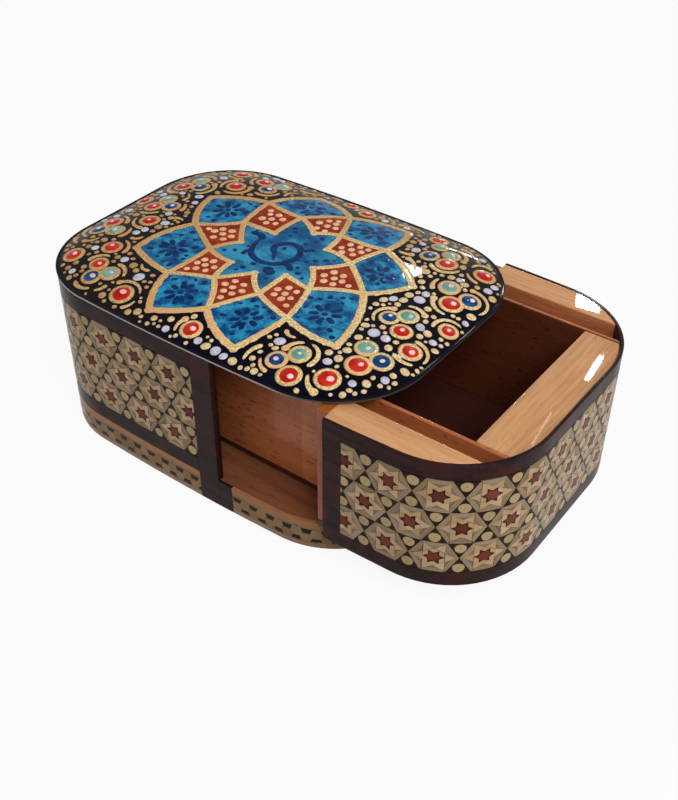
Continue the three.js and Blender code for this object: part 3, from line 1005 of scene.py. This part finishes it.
def gold_line(first, second, width, bend):
    """A gold line with a dark line showing on both sides of it"""
    path = straight(first, second, bend)
    steps = max(8, round((first - second).length))
    stroke("gold_lines", path, even(width, hand.uniform(0, 6)), GOLD_HEIGHT, steps, 4)
    stroke("dark_outlines", path, even(width + 0.42, hand.uniform(0, 6)), 0.1, steps, 6)


def medallion():
    """Films of colour, the gold lines over their seams, and the small marks in them"""
    kite_tips, notches = vectors(KITE_TIPS), vectors(STAR_NOTCHES)
    points, petal_tips = vectors(STAR_POINTS), vectors(PETAL_TIPS)
    edge = []
    patch("star_film", points, STAR_FILM)
    for k in range(8):
        point, before, notch, tip = points[k], points[k - 1], notches[k], petal_tips[k]
        here, there = kite_tips[k], kite_tips[(k + 1) % 8]
        bends = hand.uniform(0.05, 0.1), hand.uniform(0.05, 0.1)
        left, right = straight(here, tip, -bends[0]), straight(tip, there, -bends[1])
        shares = np.linspace(0, 1, 7)
        border = [left(s) for s in shares] + [right(s) for s in shares[1:]]
        edge += [path(s) for path in (left, right) for s in np.linspace(0, 1, 20)]
        patch("petal_films", [point, *border], PETAL_FILM)
        kite = [notch, point, here, before]
        patch("kite_films", kite, KITE_FILM)
        for first, second, width, bend in (
                (here, tip, PETAL_LINE, -bends[0]),
                (tip, there, PETAL_LINE, -bends[1]),
                (here, point, KITE_LINE, hand.uniform(-0.04, 0.06)),
                (here, before, KITE_LINE, hand.uniform(-0.06, 0.04)),
                (notch, point, KITE_LINE, hand.uniform(-0.08, 0.0)),
                (notch, before, KITE_LINE, hand.uniform(0.0, 0.08))):
            gold_line(first, second, width, bend)
        for joint, width in ((point, KITE_LINE), (here, PETAL_LINE), (tip, PETAL_LINE), (notch, KITE_LINE)):
            dot("gold_lines", joint, width / 2, 0.2, 12, 6)
        petal_marks([point, here, tip, there])
        kite_dots(kite)
    star_marks()
    return edge


def navy_dab(first, second, width):
    path = straight(first, second, hand.uniform(-0.12, 0.12))
    stroke("navy_marks", path, dab(width), NAVY_HEIGHT, 5, 6, 0.02)


def petal_marks(corners):
    """A navy flower in a petal, with more dabs towards its corners"""
    middle = centre_of(corners).lerp(corners[2], 0.1)
    taken = [(middle, 0.9)]
    dot("navy_marks", middle, 1.15, 0.085, 10, 4)
    count = hand.randint(8, 9)
    turn = hand.uniform(0, 40)
    for i in range(count):
        angle = turn + 360 * i / count + hand.uniform(-5, 5)
        inner = middle + Vector(polar(hand.uniform(1.5, 1.8), angle))
        outer = middle + Vector(polar(hand.uniform(4.3, 5.3), angle + hand.uniform(-8, 8)))
        if within(corners, outer, 1.5):
            navy_dab(inner, outer, hand.uniform(2.0, 2.5))
            taken += [(inner.lerp(outer, share), 0.95) for share in (0.2, 0.6, 1)]
    for _ in range(900):
        angle = hand.uniform(0, 360)
        inner = middle + Vector(polar(hand.uniform(2.5, 12), angle))
        outer = inner + Vector(polar(hand.uniform(0.9, 2.8), angle + hand.uniform(-40, 40)))
        if not (within(corners, inner, 1.25) and within(corners, outer, 1.25)):
            continue
        spots = [inner.lerp(outer, share) for share in (0, 0.5, 1)]
        width = hand.uniform(1.6, 2.5)
        if all((spot - other).length > width / 2 + size - 0.22 for spot in spots for other, size in taken):
            navy_dab(inner, outer, width)
            taken += [(spot, width / 2) for spot in spots]


def kite_dots(corners):
    """Seven or eight peach drops in each red kite"""
    middle = centre_of(corners)
    dot("kite_dots", middle + Vector((hand.uniform(-0.3, 0.3), hand.uniform(-0.3, 0.3))), 1.15, 0.2)
    turn = hand.uniform(0, 60)
    for i in range(6):
        place = middle + Vector(polar(hand.uniform(2.7, 3.2), turn + 60 * i + hand.uniform(-8, 8)))
        dot("kite_dots", place, hand.uniform(0.98, 1.25), 0.2, turn=turn, longer=hand.uniform(1, 1.15))
    dot("kite_dots", middle.lerp(corners[2], 0.5), hand.uniform(0.9, 1.1), 0.2)


def star_marks():
    """The scrolls in the middle of the star and the dabs in its points"""
    for places, width in SCROLLS:
        stroke("navy_marks", through(places), dab(width * 1.3), NAVY_HEIGHT, 6 * len(places), 6, 0.02)
    for x, y, radius in STAR_DABS:
        turn, longer = hand.uniform(0, 3), hand.uniform(1, 1.3)
        dot("navy_marks", Vector((x, y)), radius * 1.2, 0.085, 10, 4, turn, longer)


class Ground:
    """The black ground round the medallion, and what already lies on it"""

    def __init__(self, edge):
        self.edge = np.array([tuple(place) for place in edge])
        angle = np.degrees(np.arctan2(self.edge[:, 1], self.edge[:, 0])) % 360
        order = np.argsort(angle)
        self.angles = angle[order]
        self.radii = np.hypot(self.edge[:, 0], self.edge[:, 1])[order]
        self.marks = np.empty((0, 3))

    def clear(self, place, radius, gap, rim=0.85):
        """Whether a mark here keeps clear of the lid's rim, the medallion and the marks before it"""
        if inset_of(place.x, place.y) < radius + rim:
            return False
        angle = math.degrees(math.atan2(place.y, place.x)) % 360
        if place.length < np.interp(angle, self.angles, self.radii, period=360):
            return False
        from_edge = np.hypot(self.edge[:, 0] - place.x, self.edge[:, 1] - place.y).min()
        if from_edge < radius + PETAL_LINE / 2 + 0.3:
            return False
        away = np.hypot(self.marks[:, 0] - place.x, self.marks[:, 1] - place.y) - self.marks[:, 2]
        return bool(np.all(away > radius + gap))

    def take(self, place, radius):
        self.marks = np.vstack([self.marks, (place.x, place.y, radius)])


def anywhere():
    return Vector((hand.uniform(-HALF_LENGTH, HALF_LENGTH), hand.uniform(-LID_REACH_Y, LID_REACH_Y)))


def gold_comma(ground, path, width):
    """A comma where the ground is clear all along its path"""
    spots = [path(share) for share in np.linspace(0, 1, 9)]
    if not all(ground.clear(place, width * 0.42, 0.25) for place in spots):
        return False
    stroke("gold_commas", path, comma(width), 0.2, 14)
    if hand.random() < 0.4:
        dot("gold_commas", spots[0], width * 0.62, 0.22)
    for place in spots:
        ground.take(place, width * 0.45)
    return True


def surround(edge):
    """Gems, dots and commas on the black ground, kept clear of each other and of the medallion"""
    ground = Ground(edge)
    for kind, x, y, radius in GEMS:
        place = Vector((x, y))
        ring = radius + GEM_RING
        dot("gold_commas", place, ring, 0.24, 20, 6, hand.uniform(0, 3), hand.uniform(1, 1.05))
        dot(f"{kind}_gems", place, radius, 0.55, 20, 8, hand.uniform(0, 3), hand.uniform(1, 1.08))
        shine = place + Vector((hand.uniform(-0.2, 0.7), hand.uniform(-0.3, 0.6)))
        dot("gem_lights", shine, radius * hand.uniform(0.26, 0.4), 0.2, lift=0.42, longer=1.15)
        ground.take(place, ring)
    for x, y, radius in PALE_PLACES:
        place = Vector((x, y))
        if ground.clear(place, radius, 0.1, 0.3):
            dot("pale_drops", place, radius, 0.34, 12, 6, hand.uniform(0, 3), hand.uniform(1, 1.15))
            ground.take(place, radius)
    for _ in range(700):
        x, y, radius = hand.choice(GEMS)[1:]
        turn = hand.choice((-1, 1)) * hand.uniform(60, 150)
        reach = radius + GEM_RING + hand.uniform(1.15, 1.6)
        around = arc(Vector((x, y)), reach, hand.uniform(0, 360), turn)
        gold_comma(ground, around, hand.uniform(1.5, 1.95))
    for low, high, goal in ((6.0, 9.5, 40), (3.6, 6.0, 60)):
        made = 0
        for _ in range(3000):
            start = anywhere()
            end = start + Vector(polar(hand.uniform(low, high), hand.uniform(0, 360)))
            bend = hand.choice((-1, 1)) * hand.uniform(0.1, 0.28)
            made += gold_comma(ground, straight(start, end, bend), hand.uniform(1.4, 1.95))
            if made >= goal:
                break
    for tries, low, high, layer, goal in (
            (900, 1.0, 1.5, "pale_drops", 26), (6000, 0.9, 1.3, "gold_drops", 900),
            (12000, 0.6, 0.85, "gold_drops", 900), (2000, 0.42, 0.55, "gold_drops", 70)):
        made = 0
        for _ in range(tries):
            place = anywhere()
            radius = hand.uniform(low, high)
            if ground.clear(place, radius, 0.22):
                height = 0.1 + radius * 0.18
                dot(layer, place, radius, height, 10, 6, hand.uniform(0, 3), hand.uniform(1, 1.25))
                ground.take(place, radius)
                made += 1
            if made >= goal:
                break


surround(medallion())
for name, finish in PAINTED.items():
    make_piece(layers[name], name, "case", finish, "painted_lacquer")


# Floor, lamps and camera
def seen_directly(tree):
    """1 where a surface shows to the eye, in gloss or through glass, and 0 where it lights others"""
    path = put(tree, "ShaderNodeLightPath").outputs
    seen = calculate(tree, "MAXIMUM", path["Is Camera Ray"], path["Is Glossy Ray"])
    return calculate(tree, "MAXIMUM", seen, path["Is Transmission Ray"])


def stage_floor():
    """A pale floor that shows nearly white and keeps the box's shadow"""
    bm = bmesh.new()
    bmesh.ops.create_grid(bm, x_segments=1, y_segments=1, size=3)
    mesh = meshed(bm, "floor")
    floor = bpy.data.objects.new("floor", mesh)
    bpy.context.scene.collection.objects.link(floor)
    made = bpy.data.materials.new("floor")
    made.use_nodes = True
    tree = made.node_tree
    shader = tree.nodes["Principled BSDF"]
    set_sockets(shader, {"Base Color": (0.66, 0.66, 0.66, 1), "Roughness": 0.9, "Specular IOR Level": 0.0})
    glow = put(tree, "ShaderNodeEmission", {"Color": (1, 1, 1, 1), "Strength": 1.0})
    share = times(tree, seen_directly(tree), 0.92)
    blended = put(tree, "ShaderNodeMixShader", {0: share, 1: shader.outputs[0], 2: glow.outputs[0]})
    tree.links.new(blended.outputs[0], tree.nodes["Material Output"].inputs["Surface"])
    mesh.materials.append(made)


def sky():
    """A white backdrop near the horizon under a dimmer ceiling"""
    world = bpy.data.worlds.new("studio")
    bpy.context.scene.world = world
    world.use_nodes = True
    tree = world.node_tree
    background = tree.nodes["Background"]
    up = split(tree, put(tree, "ShaderNodeTexCoord").outputs["Generated"])["Z"]
    ceiling = between(tree, up, 0.05, 0.55, 0.5, 0.2)
    backdrop = times(tree, seen_directly(tree), between(tree, up, 0.12, 0.3, 1.0, 0.0))
    strength = put(tree, "ShaderNodeMix", {"Factor": backdrop, 2: ceiling, 3: 1.0})
    background.inputs["Color"].default_value = (1, 1, 1, 1)
    tree.links.new(strength.outputs[0], background.inputs["Strength"])


def lamp(name, turn, height, distance, size, power, target=(40, 0, 40), roll=0.0):
    """A lamp that a place on the box sees in a compass direction and at a height, both in degrees"""
    light = bpy.data.lights.new(name, "AREA")
    light.shape = "RECTANGLE"
    light.size, light.size_y = size
    light.energy = power
    made = bpy.data.objects.new(name, light)
    target = Vector(target) * MM
    level, rise = distance * math.cos(math.radians(height)), distance * math.sin(math.radians(height))
    made.location = target + Vector((*polar(level, turn), rise))
    facing = (target - made.location).to_track_quat("-Z", "Y") @ Quaternion((0, 0, 1), math.radians(roll))
    made.rotation_euler = facing.to_euler()
    made.visible_camera = False
    bpy.context.scene.collection.objects.link(made)


def camera():
    """The photograph's camera, fitted to the box's outline"""
    image_width, image_height = 678, 800
    focal_pixels = 1088.8
    centre_x = 337.8
    place = Vector((0.1703, -0.2018, 0.2146))
    azimuth, elevation, roll = (math.radians(a) for a in (36.39, 38.68, 0.37))
    right = Vector((math.cos(azimuth), math.sin(azimuth), 0))
    back = Vector((math.sin(azimuth) * math.cos(elevation), -math.cos(azimuth) * math.cos(elevation),
                   math.sin(elevation)))
    up = back.cross(right)
    across = math.cos(roll) * right + math.sin(roll) * up
    upright = math.cos(roll) * up - math.sin(roll) * right
    data = bpy.data.cameras.new("camera")
    data.sensor_width = 36
    data.lens = focal_pixels * data.sensor_width / image_height
    data.shift_x = (image_width / 2 - centre_x) / image_height
    data.clip_start = 0.01
    made = bpy.data.objects.new("camera", data)
    made.matrix_world = Matrix.Translation(place) @ Matrix((across, upright, back)).transposed().to_4x4()
    bpy.context.scene.collection.objects.link(made)
    bpy.context.scene.camera = made


bpy.context.scene.view_settings.view_transform = "Standard"
stage_floor()
sky()
lamp("key", -35, 52, 0.95, (0.5, 0.5), 6.4)
lamp("side", 12, 20, 1.0, (0.4, 0.3), 2.2)
lamp("left", -158, 22, 1.0, (0.4, 0.4), 1.5)
lamp("window_over_block", 110, 35.7, 1.0, (0.006, 0.032), 0.05, (92, 14, 49), -20)
lamp("window_edge", 112.6, 39.3, 1.0, (0.0022, 0.045), 0.0022, (92, -14, 49), -20)
lamp("window_over_cheek", 111, 32.5, 1.0, (0.028, 0.02), 0.13, (77, 39, 50))
lamp("window_over_lid", 121.5, 31.7, 1.0, (0.032, 0.018), 0.2, (34, 17, 55))
lamp("small_window", 118.4, 37.8, 1.0, (0.024, 0.016), 0.12, (43, -4, 54))
lamp("side_window", 102.5, 45.7, 1.0, (0.042, 0.036), 0.45, (52, -15, 53))
lamp("far_window", 111.5, 10.8, 1.0, (0.14, 0.03), 0.5, (38, 36, 53))
camera()
